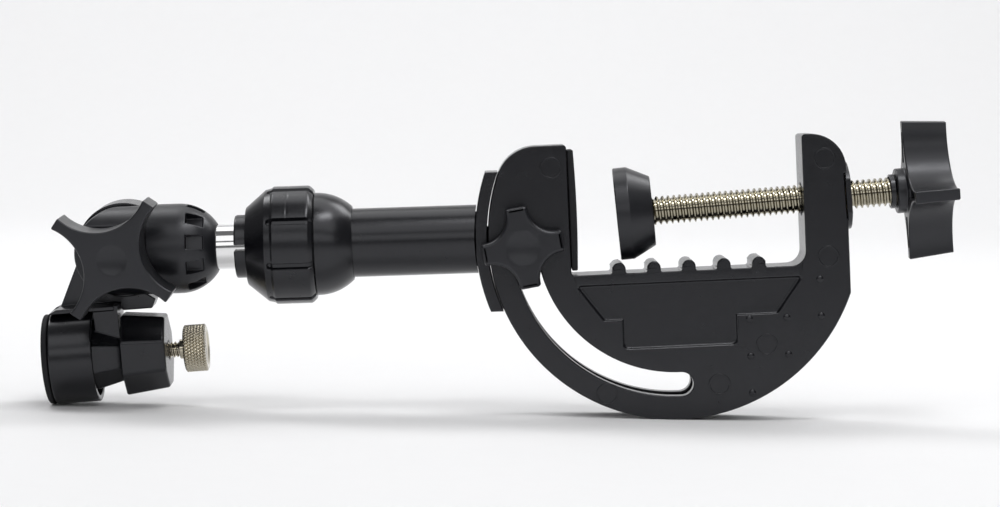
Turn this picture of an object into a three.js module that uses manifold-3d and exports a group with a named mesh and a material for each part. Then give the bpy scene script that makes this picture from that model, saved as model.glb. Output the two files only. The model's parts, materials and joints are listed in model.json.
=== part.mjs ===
// Articulated bench arm: a D-shaped screw clamp, a carriage that runs round an arc slot in the
// clamp, a telescopic tube with a twist-lock collet, a knuckle joint with a four-arm knob, and a
// round platform with a captive mounting screw.
// Millimetres, +X to the right, +Y to the back, +Z up.  The object lies on its clamp and platform.

import * as THREE from 'three';
import { mergeVertices } from 'three/addons/utils/BufferGeometryUtils.js';
import Module from 'manifold-3d';

const wasm = await Module();
wasm.setup();

// ---------------------------------------------------------------- driving dimensions
const GAP = 0.3;                       // clearance left between faces that touch

const clamp = {
  radius: 64.2,                        // outer arc, about the clamp's centre
  depth: 20,                           // front face to back face
  top: 32.3,                           // height of both jaws above the centre
  leftJawX: -36,                       // inner wall of the fixed jaw
  rightJawX: 44.9,                     // inner wall of the screw jaw
  outerX: 59.95,                       // outer wall of the screw jaw
  throatZ: -12.8,                      // floor of the throat
  leftCorner: 14,
  rightCorner: 12.2,
  throatCorner: 5,
};
const slot = { inner: 47.8, outer: 56.05, start: 181.6, end: 270.4 };   // degrees round the arc
const groove = { start: 173, end: 277.8, width: 9.2 };                  // lets the tongue through
const rib = { count: 5, first: -19.6, pitch: 12.05, width: 4.7, height: 3.75, steps: 8 };
const panel = { left: -35.2, right: 44.2, top: -16.1, bottom: -29, inset: 9.2, depth: 1.2 };
const label = { left: -19.5, right: 20.5, bottom: -39.6 };             // opens into the panel
const jawPad = { thickness: 2.5, width: 17, bottom: -11.2, top: 30.4 };

const screwLine = { z: 9.7, lean: 2.1 };      // where the screw crosses the jaw, and its lean
const screw = { radius: 5, hole: 5.7, start: -58.7, end: 49.65, neck: 3.9, neckLength: 5.3 };
const bush = { radius: 8, bore: 5.12, start: 2.2, end: 14.45 };
const bushCover = { radius: 11.8, room: 12.8, start: 14.75, end: 16.55 };
const pad = {
  radius: 16, rim: 4.7, backRadius: 12, length: 12.6, face: -64.15,
  clip: 6.8,                           // face to the clip that holds the pad on the screw
  tilt: 1.4, yaw: 2.5,                 // how the loose pad rests on the screw's end, in degrees
};
const padClip = { outer: 6.4, room: 7.6, throat: 6.1, throatLength: 3.2, width: 1.2, slit: 1.6 };
const knobCollar = { radius: 5.95, start: 30.9, end: 32.7 };
const handKnob = {
  start: 36.35, length: 15.4, reach: 24.1, tip: 2.2, core: 10.4, hub: 7.8, hubStart: 33,
  draft: 0.946, turn: 4.4, capRadius: 5.9, capRoom: 6.3,
};

const shoe = { thickness: 4.1, halfAngle: 26, width: 22, top: 23.3, bottom: -24.8 };
const tongue = { half: 5.4, width: 8.4, inner: 48.2 };
const lockBolt = {
  radius: 3, hole: 3.3, distance: 52.3, drop: 2.65, headToFlats: 5.5, headStart: 12.5, headEnd: 16,
};
const backWasher = { radius: 8, front: 10.3, back: 12.2 };
const frontWasher = { radius: 7.5, front: -11.6, back: -10.3 };
const lockKnob = {
  reach: 13.9, tip: 3.8, core: 8.9, front: -21, back: -11.9, turn: 9, dish: 6.2, cap: 5.8,
};
const capDepth = { seat: 1.3, top: 0.3, bottom: 1 };                    // of a knob's round cap

const reachBack = 0.6;                 // the tube and all beyond it, moved towards the clamp
const tube = { outer: 11.9, inner: 9.8, start: 68, plug: 72.8, end: 120 };
const housing = { radius: 17.8, centre: 124, start: 111.6, seam: 124.3, barrel: 15.2, end: 143 };
const nut = {
  radius: 20.4, groove: 1.4, grooves: 8, grooveWidth: 2.1, phase: 18.5, start: 124.6, end: 148.3,
};
const collet = { outer: 10.95, inner: 7.8, start: 121, end: 152.3, slit: 2.2 };
const rod = { radius: 7.7, bore: 5.9, start: 76.6, end: 169.1 };
const cup = { radius: 15.56, centre: 171.7, start: 158.6, floor: 169.4, end: 182 };
const cupWindow = { count: 10, phase: 3.7, start: 162.6, end: 168.6, half: 2.4, floor: 11.9 };
const pivot = 191.5;                   // clamp centre to knuckle axis, along the arm
const knuckleKnob = {
  reach: 22.9, tip: 2.2, core: 10, back: -16.1, front: -31.4, neck: -13.8, hub: 7.8, turn: 52.5,
  dish: 5.9, cap: 5.5,
};
const pin = {
  radius: 3, hole: 3.3, headToFlats: 5.4, headRoom: 5.8, headStart: 12.5, headEnd: 15.6,
};
const knuckleWasher = { radius: 9, front: -13.5, back: -12.3 };
const frictionDisc = { radius: 12.5, half: 0.6 };
const lug = { radius: 15.4, front: -12, back: -0.9 };
const drum = { radius: 16.4, front: 0.9, back: 16 };

const axisX = -1.3;                    // middle of the platform's parts, from the knuckle axis
const axisZ = -36.1;                   // platform axis below the knuckle axis
const disc = { radius: 15.9, left: -26, right: -10.8, recess: 3.4, lip: 2, bore: 5.8 };
const discPad = { radius: 15.6, left: -28.3 };
const hub = { left: -13.8, right: -1.7, wide: 12, narrow: 9, spigot: 5.4, spigotEnd: -21 };
const block = { left: -1.2, right: 14, wide: 14, narrow: 12.4, room: 5.4, roomEnd: 8 };
const screwClip = { radius: 4.8, left: 6, right: 7.1 };
const mountScrew = { radius: 2.8, bore: 3.2, tip: -29.2 };
const screwKnob = { radius: 8.2, left: 19.6, right: 27.4, collar: 3.4, collarStart: 17.9 };

const clampTilt = 3.7;                 // degrees, anticlockwise seen from the front
const armTilt = 2.96;
const headTilt = 2.55;                 // of the head about the knuckle, on top of the arm's
const headRoll = 3.3;                  // of the rod and head about the arm's own axis
const centre = { x: 60.6, z: 64.2 };   // clamp centre above the surface it lies on

// ---------------------------------------------------------------- materials
function plastic(color, roughness = 0.45) {
  return new THREE.MeshStandardMaterial({ color, roughness, metalness: 0 });
}
function metal(color, roughness = 0.25) {
  return new THREE.MeshStandardMaterial({ color, roughness, metalness: 1 });
}
const satinBlack = plastic(0x1c1d20, 0.42);
const blackKnob = plastic(0x212226, 0.38);
const rubber = plastic(0x111113, 0.8);
const nickel = metal(0xc9c5b4, 0.22);
const chrome = metal(0xd8dadb, 0.12);
const steel = metal(0x9b9c9e, 0.35);
const brass = metal(0xb89a5a, 0.35);

// ---------------------------------------------------------------- geometry helpers
const rad = THREE.MathUtils.degToRad;

function volumeOf(geometry) {
  const p = geometry.attributes.position;
  const index = geometry.index.array;
  const a = new THREE.Vector3();
  const b = new THREE.Vector3();
  const c = new THREE.Vector3();
  let total = 0;
  for (let i = 0; i < index.length; i += 3) {
    a.fromBufferAttribute(p, index[i]);
    b.fromBufferAttribute(p, index[i + 1]);
    c.fromBufferAttribute(p, index[i + 2]);
    total += a.dot(b.cross(c)) / 6;
  }
  return total;
}

// A three.js geometry as a closed solid, with its faces turned outwards.
function solid(geometry) {
  const bare = geometry.clone();
  bare.deleteAttribute('normal');
  bare.deleteAttribute('uv');
  const merged = mergeVertices(bare, 1e-4);
  const triVerts = Uint32Array.from(merged.index.array);
  if (volumeOf(merged) < 0) {
    for (let i = 0; i < triVerts.length; i += 3) {
      [triVerts[i], triVerts[i + 1]] = [triVerts[i + 1], triVerts[i]];
    }
  }
  const vertProperties = Float32Array.from(merged.attributes.position.array);
  return new wasm.Manifold(new wasm.Mesh({ numProp: 3, vertProperties, triVerts }));
}

function geometryOf(manifold) {
  const mesh = manifold.getMesh();
  const geometry = new THREE.BufferGeometry();
  const position = new THREE.BufferAttribute(new Float32Array(mesh.vertProperties), 3);
  geometry.setAttribute('position', position);
  geometry.setIndex(new THREE.BufferAttribute(new Uint32Array(mesh.triVerts), 1));
  geometry.computeVertexNormals();
  return geometry;
}

function joined(...solids) {
  return solids.reduce((sum, next) => sum.add(next));
}
function cut(base, ...tools) {
  return tools.reduce((rest, tool) => rest.subtract(tool), base);
}

// [x, radius] pairs turned about the X axis.
function turnedX(profile, segments = 28) {
  const points = profile.map(([x, r]) => new THREE.Vector2(r, x));
  return solid(new THREE.LatheGeometry(points, segments).rotateZ(-Math.PI / 2));
}
function rodX(radius, x0, x1, segments = 28) {
  return turnedX([[x0, 0], [x0, radius], [x1, radius], [x1, 0]], segments);
}
function rodY(radius, y0, y1, x = 0, z = 0, segments = 24) {
  const geometry = new THREE.CylinderGeometry(radius, radius, y1 - y0, segments);
  return solid(geometry.translate(x, (y0 + y1) / 2, z));
}
function ringX(outer, inner, x0, x1, segments = 28) {
  return turnedX([[x0, inner], [x0, outer], [x1, outer], [x1, inner], [x0, inner]], segments);
}
function block3(x0, x1, y0, y1, z0, z1) {
  const geometry = new THREE.BoxGeometry(x1 - x0, y1 - y0, z1 - z0);
  return solid(geometry.translate((x0 + x1) / 2, (y0 + y1) / 2, (z0 + z1) / 2));
}
function washer(size, hole) {
  return cut(rodY(size.radius, size.front, size.back), rodY(hole, size.front - 1, size.back + 1, 0, 0, 20));
}
function knobCap(knob) {
  return rodY(knob.cap, knob.front + capDepth.top, knob.front + capDepth.bottom);
}
// A shape drawn in X and Z, pulled from y0 to y1.
function plateY(shape, y0, y1, curveSegments = 12) {
  const geometry = new THREE.ExtrudeGeometry(shape, {
    depth: y1 - y0, bevelEnabled: false, curveSegments,
  });
  return solid(geometry.rotateX(Math.PI / 2).translate(0, y1, 0));
}
// A shape drawn in Y and Z, pulled from x0 to x1.
function plateX(shape, x0, x1, curveSegments = 8) {
  const geometry = new THREE.ExtrudeGeometry(shape, {
    depth: x1 - x0, bevelEnabled: false, curveSegments,
  });
  return solid(geometry.rotateX(Math.PI / 2).rotateZ(Math.PI / 2).translate(x0, 0, 0));
}
function polar(radius, degrees) {
  return [radius * Math.cos(rad(degrees)), radius * Math.sin(rad(degrees))];
}
// The area between two radii and two angles, with square or round ends.
function arcBand(inner, outer, start, end, round = false) {
  const shape = new THREE.Shape();
  const middle = (inner + outer) / 2;
  const half = (outer - inner) / 2;
  shape.absarc(0, 0, outer, rad(start), rad(end), false);
  if (round) {
    shape.absarc(...polar(middle, end), half, rad(end), rad(end + 180), false);
  }
  shape.absarc(0, 0, inner, rad(end), rad(start), true);
  if (round) {
    shape.absarc(...polar(middle, start), half, rad(start + 180), rad(start + 360), false);
  }
  return shape;
}
// Four arms with hollow curves between them; each hollow is one arc through two arm tips.
function fourArms(reach, tip, core) {
  const corner = reach * reach + tip * tip - core * core;
  const c = corner / (2 * (reach + tip) - 2 * Math.SQRT2 * core);
  const hollow = c * Math.SQRT2 - core;
  const first = Math.atan2(tip - c, reach - c);
  const shape = new THREE.Shape();
  for (let arm = 0; arm < 4; arm += 1) {
    const turn = (arm * Math.PI) / 2;
    const [cx, cy] = [c * Math.cos(turn) - c * Math.sin(turn), c * Math.sin(turn) + c * Math.cos(turn)];
    const last = Math.PI / 2 - first;
    shape.absarc(cx, cy, hollow, first + turn, last + turn - 2 * Math.PI, true);
  }
  return shape;
}
// An eight-sided taper along X, from radius r0 (to the flats) at x0 to r1 at x1.
function octagonTaper(x0, r0, x1, r1) {
  const corner = 1 / Math.cos(rad(22.5));
  const geometry = new THREE.CylinderGeometry(r1 * corner, r0 * corner, x1 - x0, 8);
  geometry.rotateY(rad(22.5)).rotateZ(-Math.PI / 2);
  return solid(geometry.translate((x0 + x1) / 2, 0, 0));
}

function part(name, shape, material) {
  const mesh = new THREE.Mesh(geometryOf(shape), material);
  mesh.name = name;
  return mesh;
}
function tilted(degrees, x = 0, z = 0) {
  const group = new THREE.Group();
  group.position.set(x, 0, z);
  group.rotation.y = -rad(degrees);
  return group;
}

// ---------------------------------------------------------------- clamp
function clampOutline() {
  const c = clamp;
  const cornerReach = c.radius - c.leftCorner;
  const cornerZ = c.top - c.leftCorner;
  const cornerX = -Math.sqrt(cornerReach ** 2 - cornerZ ** 2);
  const cornerTurn = Math.atan2(cornerZ, cornerX);
  const arcEnd = -Math.acos(c.outerX / c.radius) + 2 * Math.PI;
  const small = 1.2;
  const shape = new THREE.Shape();
  shape.moveTo(c.leftJawX - small, c.top);
  shape.absarc(cornerX, cornerZ, c.leftCorner, Math.PI / 2, cornerTurn, false);
  shape.absarc(0, 0, c.radius, cornerTurn, arcEnd, false);
  shape.absarc(c.outerX - c.rightCorner, c.top - c.rightCorner, c.rightCorner, 0, Math.PI / 2, false);
  shape.lineTo(c.rightJawX + small, c.top);
  shape.lineTo(c.rightJawX, c.top - small);
  shape.absarc(c.rightJawX - c.throatCorner, c.throatZ + c.throatCorner, c.throatCorner,
    0, -Math.PI / 2, true);
  for (let i = rib.count - 1; i >= 0; i -= 1) {
    const x = rib.first + i * rib.pitch;
    const half = rib.width / 2;
    shape.lineTo(x + half, c.throatZ);
    for (let step = 0; step <= rib.steps; step += 1) {
      const [dx, dz] = polar(half, (180 * step) / rib.steps);
      shape.lineTo(x + dx, c.throatZ + rib.height - half + dz);
    }
    shape.lineTo(x - half, c.throatZ);
  }
  shape.lineTo(c.leftJawX + small, c.throatZ);
  shape.lineTo(c.leftJawX, c.throatZ + small);
  shape.lineTo(c.leftJawX, c.top - small);
  return shape;
}

function panelOutline() {
  const shape = new THREE.Shape();
  shape.moveTo(panel.left, panel.top);
  shape.lineTo(panel.right, panel.top);
  shape.lineTo(panel.right - panel.inset, panel.bottom);
  shape.lineTo(label.right, panel.bottom);
  shape.lineTo(label.right, label.bottom);
  shape.lineTo(label.left, label.bottom);
  shape.lineTo(label.left, panel.bottom);
  shape.lineTo(panel.left + panel.inset, panel.bottom);
  return shape;
}

// Bores that belong to the leaning screw are cut on the screw's own line.
function onScrewLine(shape) {
  const turn = new THREE.Matrix4().makeRotationY(-rad(screwLine.lean));
  turn.setPosition(clamp.rightJawX, 0, screwLine.z);
  return shape.transform(turn.elements);
}

function clampFrame() {
  const half = clamp.depth / 2;
  const body = plateY(clampOutline(), -half, half, 30);
  const slotBand = arcBand(slot.inner, slot.outer, slot.start, slot.end, true);
  const slotTool = plateY(slotBand, -half - 1, half + 1, 16);
  const grooveTool = plateY(arcBand(slot.inner, clamp.radius + 3, groove.start, groove.end),
    -groove.width / 2, groove.width / 2, 20);
  const bushSeat = onScrewLine(rodX(bush.radius + GAP, bush.start - GAP, bush.end + 3, 24));
  const screwHole = onScrewLine(rodX(screw.hole, -4, 24, 24));
  const coverSeat = onScrewLine(rodX(bushCover.room, bushCover.start - GAP, 30, 24));
  const facePanels = [-1, 1].map((side) => {
    const y = side * half;
    const inner = y - side * panel.depth;
    return plateY(panelOutline(), Math.min(y + side, inner), Math.max(y + side, inner));
  });
  return cut(body, slotTool, grooveTool, bushSeat, screwHole, coverSeat, ...facePanels);
}

function clampParts() {
  const group = tilted(clampTilt, centre.x, centre.z);
  group.add(part('clamp_frame', clampFrame(), satinBlack));

  const padX = clamp.leftJawX + GAP;
  const padShape = block3(padX, padX + jawPad.thickness, -jawPad.width / 2, jawPad.width / 2,
    jawPad.bottom, jawPad.top);
  group.add(part('fixed_jaw_pad', padShape, rubber));

  const line = tilted(screwLine.lean, clamp.rightJawX, screwLine.z);
  group.add(line);
  const coverReach = clamp.depth / 2 + 0.2;
  const cover = rodX(bushCover.radius, bushCover.start, bushCover.end, 24)
    .intersect(block3(0, 40, -coverReach, coverReach, -20, 20));
  line.add(part('threaded_bush', ringX(bush.radius, bush.bore, bush.start, bush.end, 24), brass));
  line.add(part('bush_cover', cut(cover, rodX(screw.hole, 0, 30, 24)), satinBlack));

  const neckEnd = screw.start + screw.neckLength;
  const clipAt = pad.face + pad.clip;
  const shaft = turnedX([
    [screw.start, 0], [screw.start, 5], [clipAt - 0.9, 5], [clipAt - 0.9, screw.neck],
    [neckEnd, screw.neck], [neckEnd, screw.radius], [screw.end, screw.radius], [screw.end, 0],
  ], 24);
  line.add(part('clamp_screw', shaft, nickel));
  const c = padClip;
  const clip = cut(ringX(c.outer, screw.neck + GAP, clipAt, clipAt + c.width, 20),
    block3(clipAt - 1, clipAt + c.width + 1, -c.slit, c.slit, -c.outer - 1, 0));
  line.add(part('pad_clip', clip, steel));

  const padGroup = tilted(pad.tilt, clipAt, 0);
  padGroup.rotation.z = -rad(pad.yaw);
  line.add(padGroup);
  const face = pad.face - clipAt;
  const back = face + pad.length;
  const padCup = turnedX([
    [face + 2.1, 0], [face + 2.1, 14.6], [face, 14.9], [face, pad.radius], [face + pad.rim, pad.radius],
    [back, pad.backRadius], [back, c.throat], [back - c.throatLength, c.throat],
    [back - c.throatLength, c.room], [face + 4, c.room], [face + 4, 0],
  ]);
  padGroup.add(part('swivel_pad', padCup, blackKnob));
  padGroup.add(part('swivel_pad_face', rodX(14.2, face + 0.3, face + 1.8), rubber));

  line.add(part('knob_collar', ringX(knobCollar.radius, screw.radius + GAP,
    knobCollar.start, knobCollar.end, 20), satinBlack));
  const k = handKnob;
  const knobEnd = k.start + k.length;
  const arms = plateX(fourArms(k.reach, k.tip, k.core), k.start, knobEnd).warp((vertex) => {
    const scale = vertex[0] > k.start + k.length / 2 ? k.draft : 1;
    vertex[1] *= scale;
    vertex[2] *= scale;
  });
  const turn = new THREE.Matrix4().makeRotationX(rad(k.turn));
  const neck = rodX(k.hub, k.hubStart, k.start + 1, 24);
  const bore = rodX(screw.radius + GAP, k.hubStart - 1, screw.end + GAP, 24);
  const capSeat = rodX(k.capRoom, knobEnd - 1.6, knobEnd + 1, 20);
  const knob = cut(joined(arms.transform(turn.elements), neck), bore, capSeat);
  line.add(part('hand_knob', knob, blackKnob));
  line.add(part('hand_knob_cap', rodX(k.capRadius, knobEnd - 1.3, knobEnd - 0.1, 20), blackKnob));
  return group;
}

// ---------------------------------------------------------------- carriage and tube
// In the arm's group the clamp's centre is the origin and the arm runs out along -X.
function along(profile, segments = 28) {
  return turnedX(profile.map(([s, r]) => [-s, r]), segments);
}
function ringAlong(outer, inner, s0, s1, segments = 28) {
  return ringX(outer, inner, -s1, -s0, segments);
}

function carriageShoe() {
  const inner = clamp.radius + GAP;
  const outer = inner + shoe.thickness;
  const half = shoe.width / 2;
  const arc = arcBand(inner, outer, 180 - shoe.halfAngle, 180 + shoe.halfAngle);
  const saddle = plateY(arc, -half, half, 12)
    .intersect(block3(-80, -40, -half, half, shoe.bottom, shoe.top));
  const tongueSolid = block3(-outer + 0.6, -tongue.inner, -tongue.width / 2, tongue.width / 2,
    -tongue.half - 1.4, tongue.half - 1.4);
  const spigot = rodX(tube.inner - GAP, -tube.plug, -inner - 1, 24);
  const eye = rodY(lockBolt.hole, -10, 10, -lockBolt.distance, -lockBolt.drop, 20);
  return cut(joined(saddle, tongueSolid, spigot), eye);
}

// The tube's near end follows the round back of the shoe.
function armTube() {
  const back = clamp.radius + GAP + shoe.thickness + GAP;
  const trim = rodY(back, -20, 20, -reachBack, 0, 120);
  return cut(ringAlong(tube.outer, tube.inner, tube.start, tube.end), trim);
}

function twistNut() {
  const n = nut;
  const bore = housing.barrel + GAP;
  const shell = along([
    [n.start, bore], [n.start, 18.4], [125.6, 19.7], [127, n.radius], [137, n.radius], [138.4, 20.1],
    [141.2, 19.4], [144, 17.7], [146.8, 15.1], [n.end, 13.4], [n.end, 11.3], [143.4, 11.3],
    [143.4, bore], [n.start, bore],
  ], 32);
  const cutters = [];
  for (let i = 0; i < n.grooves; i += 1) {
    const slotBox = block3(-140.4, -126.4, -n.grooveWidth / 2, n.grooveWidth / 2,
      n.radius - n.groove, n.radius + 3);
    const turn = new THREE.Matrix4().makeRotationX(rad(n.phase + (360 / n.grooves) * i));
    cutters.push(slotBox.transform(turn.elements));
  }
  return cut(shell, ...cutters);
}

function splitCollet() {
  const c = collet;
  const body = along([
    [c.start, c.inner], [c.start, c.outer], [c.end - 0.6, c.outer], [c.end, c.outer - 0.6],
    [c.end, c.inner], [c.start, c.inner],
  ]);
  const slitHalf = c.slit / 2;
  const tall = block3(-c.end - 1, -131, -slitHalf, slitHalf, -12, 12);
  const wide = block3(-c.end - 1, -131, -12, 12, -slitHalf, slitHalf);
  return cut(body, tall, wide);
}

function lockKnobShape() {
  const k = lockKnob;
  const lobes = plateY(fourArms(k.reach, k.tip, k.core), k.front, k.back);
  const turn = new THREE.Matrix4().makeRotationY(-rad(k.turn));
  const bore = rodY(lockBolt.hole, k.front + 3, 0, 0, 0, 20);
  const dish = rodY(k.dish, k.front - 1, k.front + capDepth.seat);
  return cut(lobes.transform(turn.elements), bore, dish);
}

function armParts() {
  const group = tilted(armTilt, centre.x, centre.z);
  group.add(part('carriage_shoe', carriageShoe(), satinBlack));

  const bolt = new THREE.Group();
  bolt.position.set(-lockBolt.distance, 0, -lockBolt.drop);
  group.add(bolt);
  const b = lockBolt;
  const shank = rodY(b.radius, lockKnob.front + 3.4, b.headStart + 0.1, 0, 0, 20);
  const boltHead = plateY(hexagon(b.headToFlats), b.headStart, b.headEnd);
  bolt.add(part('lock_bolt', shank.add(boltHead), steel));
  bolt.add(part('back_washer', washer(backWasher, b.hole), steel));
  bolt.add(part('front_washer', washer(frontWasher, b.hole), steel));
  bolt.add(part('lock_knob', lockKnobShape(), blackKnob));
  bolt.add(part('lock_knob_cap', knobCap(lockKnob), blackKnob));

  const outer = new THREE.Group();
  outer.position.x = reachBack;
  group.add(outer);
  outer.add(part('arm_tube', armTube(), satinBlack));
  const h = housing;
  const ball = [];
  const firstRadius = Math.sqrt(h.radius ** 2 - (h.centre - h.start) ** 2);
  for (let i = 0; i <= 6; i += 1) {
    const turn = Math.acos(firstRadius / h.radius) * (1 - i / 6);
    ball.push([h.centre - h.radius * Math.sin(turn), h.radius * Math.cos(turn)]);
  }
  const tubeSeat = tube.outer + GAP;
  outer.add(part('collet_housing', along([
    [h.start, tubeSeat], ...ball, [h.seam, h.radius], [h.seam, h.barrel], [h.end, h.barrel],
    [h.end, collet.outer + GAP], [tube.end + GAP, collet.outer + GAP], [tube.end + GAP, tubeSeat],
    [h.start, tubeSeat],
  ]), satinBlack));
  outer.add(part('split_collet', splitCollet(), satinBlack));
  outer.add(part('twist_nut', twistNut(), satinBlack));
  outer.add(rodAndHead());
  return group;
}

function hexagon(toFlats) {
  const shape = new THREE.Shape();
  for (let i = 0; i < 6; i += 1) {
    const [x, z] = polar(toFlats / Math.cos(rad(30)), 60 * i);
    shape[i === 0 ? 'moveTo' : 'lineTo'](x, z);
  }
  return shape;
}

// ---------------------------------------------------------------- rod, knuckle and head
function knuckleCup() {
  const c = cup;
  const first = Math.acos((c.centre - c.start) / c.radius);
  const ball = [[c.start, 0]];
  for (let i = 0; i <= 6; i += 1) {
    const turn = first + (Math.PI / 2 - first) * (i / 6);
    ball.push([c.centre - c.radius * Math.cos(turn), c.radius * Math.sin(turn)]);
  }
  const reach = pivot + lug.radius;
  const outside = along([...ball, [reach, c.radius], [reach, 0]], 40);
  const w = cupWindow;
  const windows = [];
  for (let i = 0; i < w.count; i += 1) {
    const pocket = block3(-w.end, -w.start, -w.half, w.half, w.floor, 18);
    const turn = new THREE.Matrix4().makeRotationX(rad(w.phase + (360 / w.count) * i));
    windows.push(pocket.transform(turn.elements));
  }
  const keep = rodY(lug.radius, lug.front, lug.back, -pivot, 0, 28)
    .add(block3(-pivot, -c.end, lug.front, lug.back, -lug.radius, lug.radius))
    .add(block3(-c.end - 0.01, -150, -20, 20, -20, 20));
  const drumRoom = rodY(drum.radius + 0.6, lug.back, 20, -pivot, 0, 32);
  const rodHole = rodX(rod.radius + GAP, -c.floor, -150);
  const pinHole = rodY(pin.hole, -20, 20, -pivot, 0, 20);
  const screwHole = rodX(2.3, -c.floor - 5, -c.floor + 1, 12).add(rodX(3.9, -c.end + 5, -c.floor - 3, 16));
  return cut(outside.intersect(keep), drumRoom, rodHole, pinHole, screwHole, ...windows);
}

function headBracket() {
  const web = new THREE.Shape();
  web.moveTo(-16.2, -2);
  web.lineTo(axisX - 22.7, -18.3);
  web.lineTo(axisX - 26.2, -19.9);
  web.lineTo(axisX - 2, -19.9);
  web.lineTo(axisX - 1.2, -21.4);
  web.lineTo(axisX + 9, -21.4);
  web.lineTo(axisX + 10.6, -18.2);
  web.lineTo(5, -15.2);
  const drumSolid = rodY(drum.radius, drum.front, drum.back, 0, 0, 32);
  const webSolid = plateY(web, 3, 14);
  const hood = new THREE.Shape();
  hood.moveTo(axisX - 26.2, -19.9);
  hood.lineTo(axisX - 22.9, -18.3);
  hood.lineTo(axisX - 3, -18.3);
  hood.lineTo(axisX - 3, -19.9);
  const hoodSolid = plateY(hood, -7, 4);
  const neck = block3(axisX - 10.4, axisX - 1.8, -6.5, 9, axisZ + 5, -18.4);
  const hubSolid = octagonTaper(hub.left, hub.wide, hub.right, hub.narrow).translate([axisX, 0, axisZ]);
  const spigot = rodX(hub.spigot, hub.spigotEnd, hub.left + 1, 20).translate([axisX, 0, axisZ]);
  const bore = rodX(mountScrew.bore, -40, 20, 16).translate([0, 0, axisZ]);
  const pinHole = rodY(pin.hole, -20, 20, 0, 0, 20);
  const hexSeat = plateY(hexagon(pin.headRoom), pin.headStart - 0.5, 18);
  return cut(joined(drumSolid, webSolid, hoodSolid, neck, hubSolid, spigot), bore, pinHole, hexSeat);
}

function kneeKnob() {
  const { back, front } = knuckleKnob;
  const outline = fourArms(knuckleKnob.reach, knuckleKnob.tip, knuckleKnob.core);
  const arms = plateY(outline, front, back);
  const turn = new THREE.Matrix4().makeRotationY(-rad(knuckleKnob.turn));
  const neck = rodY(knuckleKnob.hub, back - 1, knuckleKnob.neck);
  const bore = rodY(pin.hole, front + 4, -10, 0, 0, 20);
  const dish = rodY(knuckleKnob.dish, front - 1, front + capDepth.seat);
  return cut(arms.transform(turn.elements).add(neck), bore, dish);
}

function headParts() {
  const head = tilted(headTilt, -pivot, 0);
  head.add(part('head_bracket', headBracket(), satinBlack));
  const f = frictionDisc;
  const friction = cut(rodY(f.radius, -f.half, f.half), rodY(pin.hole, -2, 2, 0, 0, 20));
  head.add(part('friction_disc', friction, rubber));
  const shank = rodY(pin.radius, knuckleKnob.front + 4.4, pin.headStart, 0, 0, 20);
  const pinHead = plateY(hexagon(pin.headToFlats), pin.headStart - 0.1, pin.headEnd);
  head.add(part('knuckle_bolt', shank.add(pinHead), steel));
  head.add(part('knuckle_washer', washer(knuckleWasher, pin.hole), steel));
  head.add(part('knuckle_knob', kneeKnob(), blackKnob));
  head.add(part('knuckle_knob_cap', knobCap(knuckleKnob), blackKnob));

  const axis = new THREE.Group();
  axis.position.set(axisX, 0, axisZ);
  head.add(axis);
  const d = disc;
  axis.add(part('platform_disc', turnedX([
    [d.left, d.bore], [d.left, d.radius], [d.right - 0.4, d.radius], [d.right, d.radius - 0.4],
    [d.right, d.radius - d.lip], [d.right - d.recess, d.radius - d.lip], [d.right - d.recess, d.bore],
    [d.left, d.bore],
  ], 36), satinBlack));
  axis.add(part('platform_pad', ringX(discPad.radius, 4, discPad.left, d.left - GAP, 36), rubber));
  const frustum = octagonTaper(block.left, block.wide, block.right, block.narrow);
  const clipRoom = rodX(block.room, block.left - 1, block.roomEnd, 20);
  axis.add(part('guide_block', cut(frustum, clipRoom, rodX(mountScrew.bore, -5, 20, 16)), satinBlack));
  const clip = ringX(screwClip.radius, mountScrew.radius + 0.25, screwClip.left, screwClip.right, 16);
  axis.add(part('screw_clip', clip, steel));
  axis.add(part('mount_screw', rodX(mountScrew.radius, mountScrew.tip, screwKnob.left - GAP, 16)
    .add(rodX(screwKnob.collar, screwKnob.collarStart, screwKnob.left - GAP, 16)), nickel));
  axis.add(part('screw_knob', rodX(screwKnob.radius, screwKnob.left, screwKnob.right, 32), nickel));
  return head;
}

function rodAndHead() {
  const group = new THREE.Group();
  group.rotation.x = rad(headRoll);
  const guide = ringAlong(tube.inner - 0.25, rod.radius + GAP, rod.start + 0.5, rod.start + 8);
  group.add(part('rod_guide', guide, blackKnob));
  group.add(part('rod', ringAlong(rod.radius, rod.bore, rod.start, rod.end), chrome));
  group.add(part('knuckle_cup', knuckleCup(), blackKnob));
  group.add(part('cup_screw', along([
    [162, 0], [162, 2], [172.7, 2], [172.7, 3.5], [174.8, 3.5], [174.8, 0],
  ], 12), steel));
  group.add(headParts());
  return group;
}

// The origin is at the middle of the footprint, on the surface that the object lies on.
const object = new THREE.Group();
object.position.set(-0.5184, 4.1516, -0.003);
object.add(clampParts());
object.add(armParts());

export default object;
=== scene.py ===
import json
import math
import bmesh
import bpy
from mathutils import Matrix, Vector


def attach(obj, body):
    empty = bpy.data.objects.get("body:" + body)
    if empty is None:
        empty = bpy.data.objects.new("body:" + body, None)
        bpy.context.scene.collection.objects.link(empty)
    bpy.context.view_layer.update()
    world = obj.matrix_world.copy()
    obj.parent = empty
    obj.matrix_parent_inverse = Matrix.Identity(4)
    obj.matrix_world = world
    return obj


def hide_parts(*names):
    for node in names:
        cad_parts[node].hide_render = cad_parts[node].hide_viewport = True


# Articulated clamp arm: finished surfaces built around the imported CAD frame.
# Shapes are drawn in millimetres, in the frame of the part they belong to, and placed by the
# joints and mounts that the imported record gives.

MM = 0.001
ROUND = 96                     # facets round a turned part
WEAR_AND_EDGE_HIGHLIGHT = "wear_and_edge_highlight"                  # face attribute: 1 on rounded edges, which get a paler colour: scuffing and a painted edge highlight
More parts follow.
